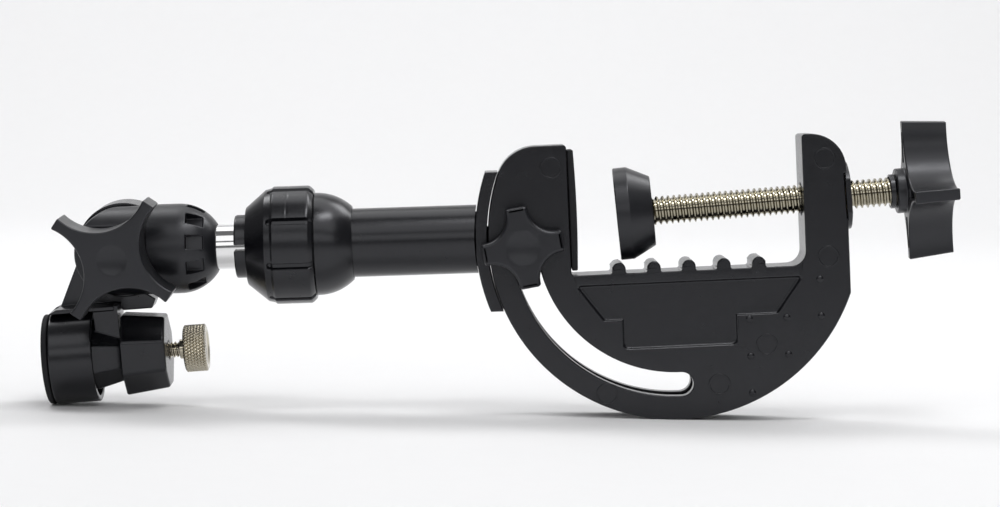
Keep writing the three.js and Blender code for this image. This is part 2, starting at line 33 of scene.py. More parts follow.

# ---------------------------------------------------------------- camera
CAMERA_AT = (-0.0048, -0.9597, 0.1113)
CAMERA_YAW, CAMERA_PITCH, CAMERA_ROLL = 0.3, 3.3, 1.13       # degrees
CAMERA_LENS, CAMERA_SENSOR = 100.0, 36.0


def aim(yaw, pitch, roll):
    """Rotation of a camera looking along +Y, turned right, tilted down and rolled."""
    forward = Vector((math.sin(yaw) * math.cos(pitch), math.cos(yaw) * math.cos(pitch),
                      -math.sin(pitch)))
    right = Vector((math.cos(yaw), -math.sin(yaw), 0))
    up = right.cross(forward)
    side = right * math.cos(roll) + up * math.sin(roll)
    top = up * math.cos(roll) - right * math.sin(roll)
    return Matrix((side, top, -forward)).transposed().to_4x4()


camera = bpy.data.objects.new("camera", bpy.data.cameras.new("camera"))
bpy.context.scene.collection.objects.link(camera)
camera.data.lens, camera.data.sensor_width = CAMERA_LENS, CAMERA_SENSOR
camera.matrix_world = Matrix.Translation(CAMERA_AT) @ aim(
    math.radians(CAMERA_YAW), math.radians(CAMERA_PITCH), math.radians(CAMERA_ROLL))
bpy.context.scene.camera = camera

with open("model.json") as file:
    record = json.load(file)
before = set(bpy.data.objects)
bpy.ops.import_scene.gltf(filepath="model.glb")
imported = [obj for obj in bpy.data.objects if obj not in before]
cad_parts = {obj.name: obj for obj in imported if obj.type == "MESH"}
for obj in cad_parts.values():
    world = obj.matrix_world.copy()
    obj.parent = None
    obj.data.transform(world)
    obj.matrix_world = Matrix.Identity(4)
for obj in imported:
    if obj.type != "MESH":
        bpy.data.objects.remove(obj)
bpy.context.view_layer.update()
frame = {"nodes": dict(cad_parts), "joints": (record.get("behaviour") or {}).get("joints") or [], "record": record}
joints = {j["name"]: j for j in frame["joints"]}
mounts = {m["name"]: m for m in frame["record"]["mounts"]}


# ---------------------------------------------------------------- frames of the parts
def axes(origin, x, y=(0, 1, 0)):
    """Matrix from a part's own millimetres to the row frame, from its X and Y directions."""
    x = Vector(x).normalized()
    y = Vector(y)
    y = (y - x * y.dot(x)).normalized()
    turn = Matrix((x, y, x.cross(y))).transposed().to_4x4()
    return Matrix.Translation(origin) @ turn @ Matrix.Scale(MM, 4)


def against(direction):
    return -Vector(direction)


CENTRE = joints["carriage_swing"]["pos_m"]
arm_x = against(joints["rod_slide"]["axis"])
knuckle_y = joints["knuckle_tilt"]["axis"]
IN_CLAMP = axes(CENTRE, mounts["fixed_jaw_face"]["axis"])
IN_LINE = axes(joints["pad_swivel"]["pos_m"], against(joints["clamp_feed"]["axis"]))
IN_PAD = axes(joints["pad_swivel"]["pos_m"], against(mounts["swivel_pad_contact"]["axis"]))
IN_ARM = axes(CENTRE, arm_x)
REACH_BACK = Matrix.Translation((0.6, 0, 0))      # the tube and all beyond it, from the centre
IN_TUBE = IN_ARM @ REACH_BACK
IN_ROD = axes(CENTRE, arm_x, knuckle_y) @ REACH_BACK
IN_HEAD = axes(joints["knuckle_tilt"]["pos_m"], against(joints["platform_turn"]["axis"]), knuckle_y)
LOCK_TURN = math.radians(9)
IN_LOCK = (axes(joints["lock_knob_turn"]["pos_m"], arm_x)
           @ Matrix.Rotation(-LOCK_TURN, 4, "Y"))
KNUCKLE_TURN = math.radians(52.5)


# ---------------------------------------------------------------- outlines
def polar(radius, degrees, at=(0, 0)):
    turn = math.radians(degrees)
    return (at[0] + radius * math.cos(turn), at[1] + radius * math.sin(turn))


def arc(radius, start, end, at=(0, 0), step=4.0):
    """Points on an arc, from one angle to the other in degrees."""
    count = max(2, math.ceil(abs(end - start) / step))
    return [polar(radius, start + (end - start) * i / count, at) for i in range(count + 1)]


def rounded(points, radius, closed=True, steps=4):
    """The outline with its corners filleted; a point may carry its own radius as a third value."""
    out = []
    count = len(points)
    for i, point in enumerate(points):
        here = Vector(point[:2])
        size = point[2] if len(point) > 2 else radius
        if size <= 0 or (not closed and i in (0, count - 1)):
            out.append(tuple(here))
            continue
        before = Vector(points[i - 1][:2]) - here
        after = Vector(points[(i + 1) % count][:2]) - here
        half = before.angle(after) / 2
        if half > math.radians(89.5):
            out.append(tuple(here))
            continue
        reach = min(size / math.tan(half), before.length * 0.49, after.length * 0.49)
        size = reach * math.tan(half)
        middle = here + (before.normalized() + after.normalized()).normalized() * size / math.sin(half)
        a = here + before.normalized() * reach - middle
        b = here + after.normalized() * reach - middle
        sweep = a.angle_signed(b)
        for k in range(steps + 1):
            turned_by = Matrix.Rotation(-sweep * k / steps, 2)
            out.append(tuple(middle + turned_by @ a))
    return out


def arc_band(inner, outer, start, end, round_ends=False):
    middle, half = (inner + outer) / 2, (outer - inner) / 2
    points = arc(outer, start, end, step=2)
    if round_ends:
        points += arc(half, end, end + 180, polar(middle, end), 12)[1:-1]
    points += arc(inner, end, start, step=2)
    if round_ends:
        points += arc(half, start + 180, start + 360, polar(middle, start), 12)[1:-1]
    return points


def four_arms(reach, tip, core):
    """Four arms with hollow curves between them; each hollow is one arc through two arm tips."""
    corner = reach * reach + tip * tip - core * core
    c = corner / (2 * (reach + tip) - 2 * math.sqrt(2) * core)
    hollow = c * math.sqrt(2) - core
    first = math.degrees(math.atan2(tip - c, reach - c))
    points = []
    for arm in range(4):
        turn = 90 * arm
        at = polar(c * math.sqrt(2), 45 + turn)
        points += arc(hollow, first + turn, 90 - first + turn - 360, at, 5)
    return points


def ngon(to_flats, sides, first):
    corner = to_flats / math.cos(math.pi / sides)
    return [polar(corner, first + 360 * i / sides) for i in range(sides)]


# ---------------------------------------------------------------- solids
def sheet_faces(bm, rows, wrap_rows=False):
    """Quads between rows of points that run round the part."""
    verts = [[bm.verts.new(p) for p in row] for row in rows]
    count = len(verts[0])
    last = len(verts) if wrap_rows else len(verts) - 1
    for i in range(last):
        a, b = verts[i], verts[(i + 1) % len(verts)]
        for k in range(count):
            n = (k + 1) % count
            bm.faces.new((a[k], a[n], b[n], b[k]))
    return verts


def tidy(bm, distance=1e-4):
    bmesh.ops.remove_doubles(bm, verts=bm.verts, dist=distance)
    bmesh.ops.dissolve_degenerate(bm, dist=distance, edges=bm.edges)
    bmesh.ops.recalc_face_normals(bm, faces=bm.faces)
    return bm


def turned(profile, steps=ROUND, closed=False):
    """A profile of (x, radius) turned about X. A closed profile makes a ring."""
    bm = bmesh.new()
    rows = [[(x, r * math.cos(2 * math.pi * k / steps), r * math.sin(2 * math.pi * k / steps))
             for k in range(steps)] for x, r in profile]
    verts = sheet_faces(bm, rows, wrap_rows=closed)
    if not closed:
        for row, (_, r) in ((verts[0], profile[0]), (verts[-1], profile[-1])):
            if r > 0:
                bm.faces.new(row)
    return tidy(bm)


def prism(outline, a, b, axis="Y"):
    """An outline in X and Z pulled along Y, or in Y and Z pulled along X."""
    bm = bmesh.new()
    place = (lambda u, v, w: (u, w, v)) if axis == "Y" else (lambda u, v, w: (w, u, v))
    rows = [[place(u, v, w) for u, v in outline] for w in (a, b)]
    verts = sheet_faces(bm, rows)
    bm.faces.new(verts[0])
    bm.faces.new(verts[1])
    return tidy(bm)


def bar_x(radius, x0, x1, steps=ROUND):
    return turned([(x0, radius), (x1, radius)], steps)


def bar_y(radius, y0, y1, x=0, z=0, steps=ROUND):
    return prism([polar(radius, 360 * i / steps, (x, z)) for i in range(steps)], y0, y1)


def ring_x(outer, inner, x0, x1, edge=0.3, steps=ROUND):
    corners = [(x0, inner), (x0, outer), (x1, outer), (x1, inner)]
    return turned(rounded(corners, edge), steps, closed=True)


def box(x0, x1, y0, y1, z0, z1):
    return prism([(x0, z0), (x1, z0), (x1, z1), (x0, z1)], y0, y1)


def moved(bm, matrix):
    bm.transform(matrix)
    return bm


def as_object(bm, name="work"):
    data = bpy.data.meshes.new(name)
    bm.to_mesh(data)
    bm.free()
    return bpy.data.objects.new(name, data)


def combine(base, tools, how):
    """The base solid with each tool joined to it, cut from it, or used to keep part of it."""
    for tool in tools:
        a, b = as_object(base), as_object(tool)
        for o in (a, b):
            bpy.context.scene.collection.objects.link(o)
        step = a.modifiers.new("step", "BOOLEAN")
        step.object, step.operation, step.solver = b, how, "EXACT"
        result = a.evaluated_get(bpy.context.evaluated_depsgraph_get())
        base = bmesh.new()
        base.from_mesh(result.to_mesh())
        for o in (a, b):
            data = o.data
            bpy.data.objects.remove(o)
            bpy.data.meshes.remove(data)
    return tidy(base, 1e-3)


def cut(base, *tools):
    return combine(base, tools, "DIFFERENCE")


def joined(base, *tools):
    return combine(base, tools, "UNION")


def kept(base, *tools):
    return combine(base, tools, "INTERSECT")


def eased(bm, width, steps=3, angle=30):
    """Every sharp edge rounded off, and its faces marked for a paler colour: scuffing and a painted edge
    highlight.
    """
    large = [face for face in bm.faces if len(face.verts) > 4]
    bmesh.ops.triangulate(bm, faces=large, quad_method="BEAUTY", ngon_method="BEAUTY")
    limit = math.radians(angle)
    mark = bm.faces.layers.float.get(WEAR_AND_EDGE_HIGHLIGHT) or bm.faces.layers.float.new(WEAR_AND_EDGE_HIGHLIGHT)
    sharp = [e for e in bm.edges if len(e.link_faces) == 2 and e.calc_face_angle(0) > limit]
    made = bmesh.ops.bevel(bm, geom=sharp, offset=width, offset_type="OFFSET", segments=steps,
                           profile=0.5, affect="EDGES", clamp_overlap=False, loop_slide=True)
    for face in made["faces"]:
        face[mark] = 1.0
    return bm


def add_to(bm, *others):
    """Loose details laid into the same mesh."""
    for other in others:
        data = bpy.data.meshes.new("detail")
        other.to_mesh(data)
        other.free()
        bm.from_mesh(data)
        bpy.data.meshes.remove(data)
    return bm


def threaded(x0, x1, crest, root, pitch, steps=40):
    """A right-handed screw thread on a solid bar."""
    shape = ((0.0, 0), (0.14, 0), (0.40, 1), (0.60, 1), (0.86, 0))
    bm = bmesh.new()
    turns = math.ceil((x1 - x0) / pitch) + 2
    grid = []
    for t in range(-steps, turns * steps + 1):
        angle = 2 * math.pi * t / steps
        row = []
        for offset, high in shape:
            x = x0 + pitch * (t / steps + offset)
            fade = min(1, max(0, (x - x0) / pitch), max(0, (x1 - x) / pitch))
            r = root + (crest - root) * high * fade
            x = min(x1, max(x0, x))
            row.append(bm.verts.new((x, r * math.cos(angle), r * math.sin(angle))))
        grid.append(row)
    for t in range(len(grid) - steps - 1):
        a, b = grid[t], grid[t + 1]
        above_a, above_b = grid[t + steps][0], grid[t + steps + 1][0]
        ring_a, ring_b = a + [above_a], b + [above_b]
        for k in range(len(shape)):
            bm.faces.new((ring_a[k], ring_b[k], ring_b[k + 1], ring_a[k + 1]))
    tidy(bm, 1e-3)
    loose = [v for v in bm.verts if not v.link_faces]
    bmesh.ops.delete(bm, geom=loose, context="VERTS")
    bmesh.ops.holes_fill(bm, edges=bm.edges, sides=0)
    bmesh.ops.recalc_face_normals(bm, faces=bm.faces)
    return bm


# ---------------------------------------------------------------- materials
def material(name, colour, roughness, metallic=0.0, mottle=0.22, spread=0.07, grain=1500.0,
             height=0.06, worn_and_highlit=None, stretch=(1, 1, 1), specular=0.5):
    """Colour and roughness clouds, a fine surface grain, and paler rounded edges: patchy scuffing plus a painted
    edge highlight.
    """
    m = bpy.data.materials.new(name)
    m.use_nodes = True
    nodes, links = m.node_tree.nodes, m.node_tree.links
    shader = nodes["Principled BSDF"]
    shader.inputs["Metallic"].default_value = metallic
    shader.inputs["Specular IOR Level"].default_value = specular
    if not metallic:
        shader.inputs["Specular Tint"].default_value = (0.94, 0.95, 1.0, 1)

    def node(kind, **values):
        made = nodes.new(kind)
        for key, value in values.items():
            made.inputs[key].default_value = value
        return made

    place = nodes.new("ShaderNodeTexCoord")
    mapping = node("ShaderNodeMapping", Scale=stretch)
    links.new(place.outputs["Object"], mapping.inputs["Vector"])
    clouds = node("ShaderNodeTexNoise", Scale=95.0, Detail=5.0, Roughness=0.6)
    smears = node("ShaderNodeTexNoise", Scale=260.0, Detail=3.0, Roughness=0.7, Distortion=0.8)
    fine = node("ShaderNodeTexNoise", Scale=grain, Detail=3.0, Roughness=0.55)
    links.new(place.outputs["Object"], clouds.inputs["Vector"])
    for texture in (smears, fine):
        links.new(mapping.outputs["Vector"], texture.inputs["Vector"])

    tint = nodes.new("ShaderNodeMix")
    tint.data_type = "RGBA"
    dark = [c * (1 - mottle) for c in colour]
    pale = [min(1, c * (1 + mottle)) for c in colour]
    tint.inputs["A"].default_value = (*dark, 1)
    tint.inputs["B"].default_value = (*pale, 1)
    links.new(clouds.outputs["Fac"], tint.inputs["Factor"])

    # paler colour on the marked rounded edges, in patches: a painted highlight along the edges together with
    # scuffing
    edge = nodes.new("ShaderNodeAttribute")
    edge.attribute_name = WEAR_AND_EDGE_HIGHLIGHT
    patchy = node("ShaderNodeMapRange", **{"From Min": 0.42, "From Max": 0.62})
    links.new(smears.outputs["Fac"], patchy.inputs["Value"])
    amount = nodes.new("ShaderNodeMath")
    amount.operation = "MULTIPLY"
    links.new(edge.outputs["Fac"], amount.inputs[0])
    links.new(patchy.outputs["Result"], amount.inputs[1])
    rubbed_and_highlit = nodes.new("ShaderNodeMix")
    rubbed_and_highlit.data_type = "RGBA"
    rubbed_and_highlit.inputs["B"].default_value = (*(worn_and_highlit or [min(1, c * 1.8) for c in colour]), 1)
    links.new(tint.outputs["Result"], rubbed_and_highlit.inputs["A"])
    links.new(amount.outputs["Value"], rubbed_and_highlit.inputs["Factor"])
    links.new(rubbed_and_highlit.outputs["Result"], shader.inputs["Base Color"])

    rough = node("ShaderNodeMapRange", **{"From Min": 0.3, "From Max": 0.7,
                                          "To Min": roughness - spread, "To Max": roughness + spread})
    links.new(smears.outputs["Fac"], rough.inputs["Value"])
    links.new(rough.outputs["Result"], shader.inputs["Roughness"])
    bump = node("ShaderNodeBump", Strength=1.0, Distance=height * MM)
    links.new(fine.outputs["Fac"], bump.inputs["Height"])
    links.new(bump.outputs["Normal"], shader.inputs["Normal"])
    return m


MATERIALS = {
    "satin_black": material("satin_black", (0.0028, 0.0029, 0.0040), 0.25, spread=0.025, height=0.011,
                            specular=0.55, worn_and_highlit=(0.0048, 0.0050, 0.0066)),
    "knob_black": material("knob_black", (0.0042, 0.0044, 0.0060), 0.34, spread=0.03, height=0.010,
                           specular=0.55, worn_and_highlit=(0.0070, 0.0072, 0.0095)),
    "rubber": material("rubber", (0.0085, 0.0085, 0.0095), 0.72, mottle=0.3, height=0.03, specular=0.35),
    # a darker copy of the nickel for the clamp screw: painted shade
    "shaded_screw_nickel": material("shaded_screw_nickel", (0.36, 0.335, 0.265), 0.10, 1.0, mottle=0.08, spread=0.06,
                             grain=2600, height=0.004, worn_and_highlit=(0.62, 0.60, 0.53)),
    "nickel": material("nickel", (0.50, 0.46, 0.37), 0.12, 1.0, mottle=0.08, spread=0.08, grain=2600,
                       height=0.004, worn_and_highlit=(0.80, 0.78, 0.72)),
    "chrome_rod": material("chrome_rod", (0.80, 0.80, 0.80), 0.09, 1.0, mottle=0.04, spread=0.04,
                           grain=700, height=0.0015, stretch=(6, 1, 1), worn_and_highlit=(0.85, 0.85, 0.85)),
    "steel": material("steel", (0.50, 0.50, 0.52), 0.33, 1.0, mottle=0.1, height=0.006,
                      worn_and_highlit=(0.66, 0.66, 0.66)),
    "brass": material("brass", (0.62, 0.47, 0.22), 0.30, 1.0, mottle=0.1, height=0.005,
                      worn_and_highlit=(0.75, 0.62, 0.38)),
}


# ---------------------------------------------------------------- pieces
def piece(name, bm, place, body, slot, nodes, smooth=32, finish=None):
    """A finished piece in the row frame, riding on its body in place of its CAD nodes."""
    bm.transform(place)
    o = as_object(bm, name)
    bpy.context.scene.collection.objects.link(o)
    o.data.materials.append(MATERIALS[finish or slot])
    for polygon in o.data.polygons:
        polygon.use_smooth = True
    o.data.set_sharp_from_angle(angle=math.radians(smooth))
    even = o.modifiers.new("even_shading", "WEIGHTED_NORMAL")
    even.keep_sharp = True
    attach(o, body)
    if nodes:
        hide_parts(*nodes)
    return o


def refined(node, body, slot, width):
    """A CAD node's own shape with its sharp edges eased."""
    bm = bmesh.new()
    bm.from_mesh(frame["nodes"][node].data)
    bm.transform(Matrix.Scale(1 / MM, 4))
    tidy(bm)
    return piece(node + "_finished", eased(bm, width), Matrix.Scale(MM, 4), body, slot, [node])


# clamp frame --------------------------------------------------------------
RADIUS, DEPTH, JAW_TOP = 64.2, 20.0, 32.3
LEFT_JAW, RIGHT_JAW, OUTER_WALL, THROAT = -36.0, 44.9, 59.95, -12.8
LEFT_CORNER, RIGHT_CORNER, THROAT_CORNER = 14.0, 12.2, 5.0
RIB_FIRST, RIB_PITCH, RIB_WIDTH, RIB_HEIGHT, RIBS = -19.6, 12.05, 4.7, 3.75, 5
SLOT_INNER, SLOT_OUTER, SLOT_START, SLOT_END = 47.8, 56.05, 181.6, 270.4
GROOVE_WIDTH, GROOVE_START, GROOVE_END = 9.2, 173.0, 277.8
SCREW_CLIP = -57.35            # the screw line's origin, seen from the screw jaw's inner wall
BUSH_POCKET = (8.3, 1.9, 17.45)      # radius, start and end of each bore on the screw line
SCREW_HOLE = (5.7, -4, 24)
COVER_POCKET = (12.8, 14.45, 30)
FACE_EDGE = 0.45
PIN_MARKS = ((-41.6, 24.6), (52.6, 23.6), (52.6, -10.2), (30.3, -39.6), (13.4, -52.6), (-25.5, -54.2))
PIN_MARK = 3.5
NUBS = ((24.6, -30.5), (37.5, -30.5), (49.4, -30.5), (49.4, -17.8), (24.6, -43.3), (37.6, -43.3),
        (24.6, -56.1))


def clamp_outline():
    reach, height = RADIUS - LEFT_CORNER, JAW_TOP - LEFT_CORNER
    corner = (-math.sqrt(reach ** 2 - height ** 2), height)
    turn = math.degrees(math.atan2(corner[1], corner[0]))
    end = 360 - math.degrees(math.acos(OUTER_WALL / RADIUS))
    points = arc(LEFT_CORNER, 90, turn, corner, 6)
    points += arc(RADIUS, turn, end, step=2)[1:]
    points += arc(RIGHT_CORNER, 0, 90, (OUTER_WALL - RIGHT_CORNER, JAW_TOP - RIGHT_CORNER), 6)
    points += rounded([(RIGHT_JAW + 3, JAW_TOP), (RIGHT_JAW, JAW_TOP), (RIGHT_JAW, JAW_TOP - 3)],
                      1.2, closed=False)[1:-1]
    points += arc(THROAT_CORNER, 0, -90, (RIGHT_JAW - THROAT_CORNER, THROAT + THROAT_CORNER), 10)
    half = RIB_WIDTH / 2
    for i in reversed(range(RIBS)):
        x = RIB_FIRST + i * RIB_PITCH
        points += rounded([(x + half + 1, THROAT), (x + half, THROAT), (x + half, THROAT + 1.2)],
                          0.5, closed=False, steps=2)[1:-1]
        points += arc(half, 0, 180, (x, THROAT + RIB_HEIGHT - half), 12)
        points += rounded([(x - half, THROAT + 1.2), (x - half, THROAT), (x - half - 1, THROAT)],
                          0.5, closed=False, steps=2)[1:-1]
    points += rounded([(LEFT_JAW + 3, THROAT), (LEFT_JAW, THROAT), (LEFT_JAW, THROAT + 3),
                       (LEFT_JAW, JAW_TOP - 3), (LEFT_JAW, JAW_TOP), (LEFT_JAW - 3, JAW_TOP)],
                      1.2, closed=False)[1:-1]
    return points


def panel_outline():
    """The tapered recess under the throat, with a blank label recess below it."""
    return rounded([
        (-35.2, -16.1, 0.8), (44.2, -16.1, 0.8), (35.0, -29.0, 0.8), (20.5, -29.0, 0.3),
        (20.5, -39.6, 1.8), (-19.5, -39.6, 1.8), (-19.5, -29.0, 0.3), (-26.0, -29.0, 0.8)], 0.8)


PANEL_DEPTH = 1.1
PANEL_MIDDLE, PANEL_DRAFT = (4.5, -26), (0.972, 0.93)     # X and Z; size of the floor to the rim


def panel_cutter(side, half):
    """The panel recess with sloping walls, cut from one side of the frame."""
    bm = prism(panel_outline(), -half - 1, -half + PANEL_DEPTH)
    for vertex in bm.verts:
        if vertex.co.y > -half:
            vertex.co.x = PANEL_MIDDLE[0] + (vertex.co.x - PANEL_MIDDLE[0]) * PANEL_DRAFT[0]
            vertex.co.z = PANEL_MIDDLE[1] + (vertex.co.z - PANEL_MIDDLE[1]) * PANEL_DRAFT[1]
    return bm if side < 0 else tidy(moved(bm, Matrix.Diagonal((1, -1, 1, 1))))


def clamp_frame():
    half = DEPTH / 2
    to_line = IN_CLAMP.inverted() @ IN_LINE @ Matrix.Translation((-SCREW_CLIP, 0, 0))
    body = prism(clamp_outline(), -half, half)
    groove = prism(arc_band(SLOT_INNER, RADIUS + 3, GROOVE_START, GROOVE_END),
                   -GROOVE_WIDTH / 2, GROOVE_WIDTH / 2)
    slot = prism(arc_band(SLOT_INNER, SLOT_OUTER, SLOT_START, SLOT_END, True), -half - 1, half + 1)
    body = cut(body, groove, slot, panel_cutter(-1, half), panel_cutter(1, half),
               *(moved(bar_x(*bore), to_line) for bore in (BUSH_POCKET, SCREW_HOLE, COVER_POCKET)))
    body = eased(body, FACE_EDGE)
    ridge = rounded([(-0.3, PIN_MARK - 0.35), (-0.3, PIN_MARK + 0.3), (0.2, PIN_MARK + 0.3),
                     (0.2, PIN_MARK - 0.35)], 0.16)
    marks = []
    for side in (-1, 1):
        for x, z in PIN_MARKS:
            turn = (Matrix.Translation((x, side * half, z))
                    @ Matrix.Rotation(math.radians(90 * side), 4, "Z"))
            marks.append(moved(turned(ridge, 40, closed=True), turn))
    dome = [(0.0, 1.25), (0.3, 1.14), (0.55, 0.8), (0.7, 0.34), (0.73, 0.0)]
    nubs = []
    for x, z in NUBS:
        turn = Matrix.Translation((x, -half, z)) @ Matrix.Rotation(math.radians(-90), 4, "Z")
        nubs.append(moved(turned(dome, 20), turn))
    return add_to(body, *marks, *nubs)


piece("clamp_frame_body", clamp_frame(), IN_CLAMP, "clamp", "satin_black", ["clamp_frame"])


def jaw_pad():
    """The rubber facing, a little bowed, with soft edges."""
    x0, x1, half, low, high = LEFT_JAW + 0.3, LEFT_JAW + 2.8, 8.5, -11.2, 30.4
    bow, rows = 0.5, 14
    outline = [(x0, low), (x1 - bow, low)]
    for i in range(1, rows):
        share = i / rows
        outline.append((x1 - bow * (2 * share - 1) ** 2, low + (high - low) * share))
    outline += [(x1 - bow, high), (x0, high)]
    return eased(prism(outline, -half, half), 0.4)


piece("jaw_pad_body", jaw_pad(), IN_CLAMP, "clamp", "rubber", ["fixed_jaw_pad"])
refined("threaded_bush", "clamp", "brass", 0.25)
refined("bush_cover", "clamp", "satin_black", 0.35)


# clamp screw --------------------------------------------------------------
def on_line(x):
    """A place along the screw line, from the screw jaw's inner wall to the line's own origin."""
    return x - SCREW_CLIP


THREAD_CREST, THREAD_ROOT, THREAD_PITCH, THREAD_END = 5.0, 4.05, 2.0, 49.45
NECK_RADIUS = 3.9


def clamp_screw():
    start, neck_end = -58.7, -53.4
    shaft = threaded(on_line(neck_end), on_line(THREAD_END), THREAD_CREST, THREAD_ROOT, THREAD_PITCH)
    tip = turned(rounded([
        (on_line(start), 0), (on_line(start), 5), (on_line(start + 0.45), 5),
        (on_line(start + 0.45), NECK_RADIUS),
        (on_line(neck_end) + 0.5, NECK_RADIUS), (on_line(neck_end) + 0.5, 0)], 0.2, closed=False))
    return add_to(shaft, tip)


# the clamp screw takes the darker nickel copy: painted shade
piece("clamp_screw_thread", clamp_screw(), IN_LINE, "screw", "nickel", ["clamp_screw"], smooth=50,
      finish="shaded_screw_nickel")
refined("pad_clip", "pad_carrier", "steel", 0.12)
piece("knob_collar_body", ring_x(5.95, 5.3, on_line(30.9), on_line(32.7), 0.25), IN_LINE, "screw",
      "satin_black", ["knob_collar"])

HAND_REACH, HAND_TIP, HAND_CORE, HAND_LENGTH, HAND_DRAFT = 24.1, 2.2, 10.4, 15.4, 0.946
KNOB_HUB = 7.8
HAND_TURN = math.radians(4.4)


def hand_knob():
    start = on_line(36.35)
    end = start + HAND_LENGTH
    arms = prism(four_arms(HAND_REACH, HAND_TIP, HAND_CORE), start, end, "X")
    for vertex in arms.verts:
        if vertex.co.x > (start + end) / 2:
            vertex.co.yz *= HAND_DRAFT
    neck = bar_x(KNOB_HUB, on_line(33.0), start + 1)
    knob = joined(moved(arms, Matrix.Rotation(HAND_TURN, 4, "X")), neck)
    knob = cut(knob, bar_x(6.3, end - 1.6, end + 1))
    pockets = []
    for arm in range(4):
        turn = Matrix.Rotation(HAND_TURN + math.radians(90 * arm), 4, "X")
        outline = rounded([(9.6, -1.7), (20.2, -0.9), (20.2, 0.9), (9.6, 1.7)], 0.6)
        pockets.append(moved(prism(outline, start - 1, start + 9, "X"), turn))
    knob = cut(knob, *pockets)
    knob = eased(knob, 0.55)
    return cut(knob, bar_x(5.3, on_line(30), on_line(49.95)))


piece("hand_knob_body", hand_knob(), IN_LINE, "screw", "knob_black", ["hand_knob"])
refined("hand_knob_cap", "screw", "knob_black", 0.3)


# swivel pad ---------------------------------------------------------------
PAD_FACE, PAD_LENGTH, PAD_RIM, PAD_RADIUS, PAD_BACK = -6.8, 12.6, 4.7, 16.0, 12.0
PAD_END = PAD_FACE + PAD_LENGTH
pad_profile = rounded([
    (PAD_FACE + 2.1, 0, 0), (PAD_FACE + 2.1, 14.6, 0.2), (PAD_FACE, 14.9, 0.4),
    (PAD_FACE, PAD_RADIUS, 0.6), (PAD_FACE + PAD_RIM, PAD_RADIUS, 0.9), (PAD_END, PAD_BACK, 0.7),
    (PAD_END, 6.1, 0.4), (PAD_END - 3.2, 6.1, 0.2), (PAD_END - 3.2, 7.6, 0.2),
    (PAD_FACE + 4, 7.6, 0.2), (PAD_FACE + 4, 0, 0)], 0.4, closed=False)
piece("swivel_pad_body", turned(pad_profile), IN_PAD, "pad", "knob_black", ["swivel_pad"])
pad_face = turned(rounded([(PAD_FACE + 0.3, 0), (PAD_FACE + 0.3, 14.2), (PAD_FACE + 1.8, 14.2),
                           (PAD_FACE + 1.8, 0)], 0.3, closed=False))
piece("swivel_pad_rubber", pad_face, IN_PAD, "pad", "rubber", ["swivel_pad_face"])


# carriage, lock knob and tube ---------------------------------------------
def out(profile):
    """A profile of (distance out along the arm, radius), turned to the arm's own X."""
    return [(-s, r, *rest) for s, r, *rest in profile]


refined("carriage_shoe", "carriage", "satin_black", 0.4)
for hardware in ("lock_bolt", "back_washer", "front_washer"):
    refined(hardware, "carriage", "steel", 0.2)

LOCK_REACH, LOCK_TIP, LOCK_CORE = 13.9, 3.8, 8.9
LOCK_FRONT, LOCK_BACK = -6.0, 3.1      # from the joint's own origin
BOLT_ROOM = 3.3


def dish(profile, front):
    """A shallow hollow for a knob's face; the profile is (depth left, radius) from its floor."""
    return moved(turned(profile), Matrix.Translation((0, front, 0))
                 @ Matrix.Rotation(math.radians(-90), 4, "Z"))


def lock_knob():
    lobes = prism(four_arms(LOCK_REACH, LOCK_TIP, LOCK_CORE), LOCK_FRONT, LOCK_BACK)
    hollow = dish([(0, 0), (0.4, 3.4), (0.9, 5.2), (1.2, 6.1), (3, 6.3), (3, 0)], LOCK_FRONT + 1.2)
    return cut(eased(lobes, 1.25, 5), hollow, bar_y(BOLT_ROOM, LOCK_FRONT + 3, 6, steps=32))


piece("lock_knob_body", lock_knob(), IN_LOCK, "lock_knob", "knob_black", ["lock_knob", "lock_knob_cap"])

TUBE_OUTER, TUBE_INNER, TUBE_START, TUBE_END = 11.9, 9.8, 68.0, 120.0
SHOE_BACK = 68.9               # the tube's near end is trimmed to the shoe's round back
tube = cut(ring_x(TUBE_OUTER, TUBE_INNER, -TUBE_END, -TUBE_START, 0.4, 128),
           bar_y(SHOE_BACK, -20, 20, -0.6, steps=360))
piece("arm_tube_body", tube, IN_TUBE, "carriage", "satin_black", ["arm_tube"])

BALL, BALL_CENTRE, BALL_START, SEAM, BARREL, BARREL_END = 17.8, 124.0, 111.6, 124.3, 15.2, 143.0


def housing():
    first = math.degrees(math.acos((BALL_CENTRE - BALL_START) / BALL))
    ball = [(BALL_CENTRE - x, r, 0) for x, r in arc(BALL, first, 90, step=5)]
    return turned(rounded(out([
        (BALL_START, TUBE_OUTER + 0.3, 0.2), *ball, (SEAM, BALL, 0.25), (SEAM, BARREL, 0.1),
        (BARREL_END, BARREL, 0.4), (BARREL_END, 11.25, 0.2), (TUBE_END + 0.3, 11.25, 0.1),
        (TUBE_END + 0.3, TUBE_OUTER + 0.3, 0.1)]), 0.2), 128, closed=True)


piece("collet_housing_body", housing(), IN_TUBE, "carriage", "satin_black", ["collet_housing"])

NUT_RADIUS, NUT_START, NUT_END, NUT_SLOTS, NUT_PHASE = 20.4, 124.6, 148.3, 8, 18.5
NUT_SLOT = dict(start=126.6, end=140.6, half=1.15, depth=1.35)


def smooth_step(value, low, high):
    share = min(1, max(0, (value - low) / (high - low)))
    return share * share * (3 - 2 * share)


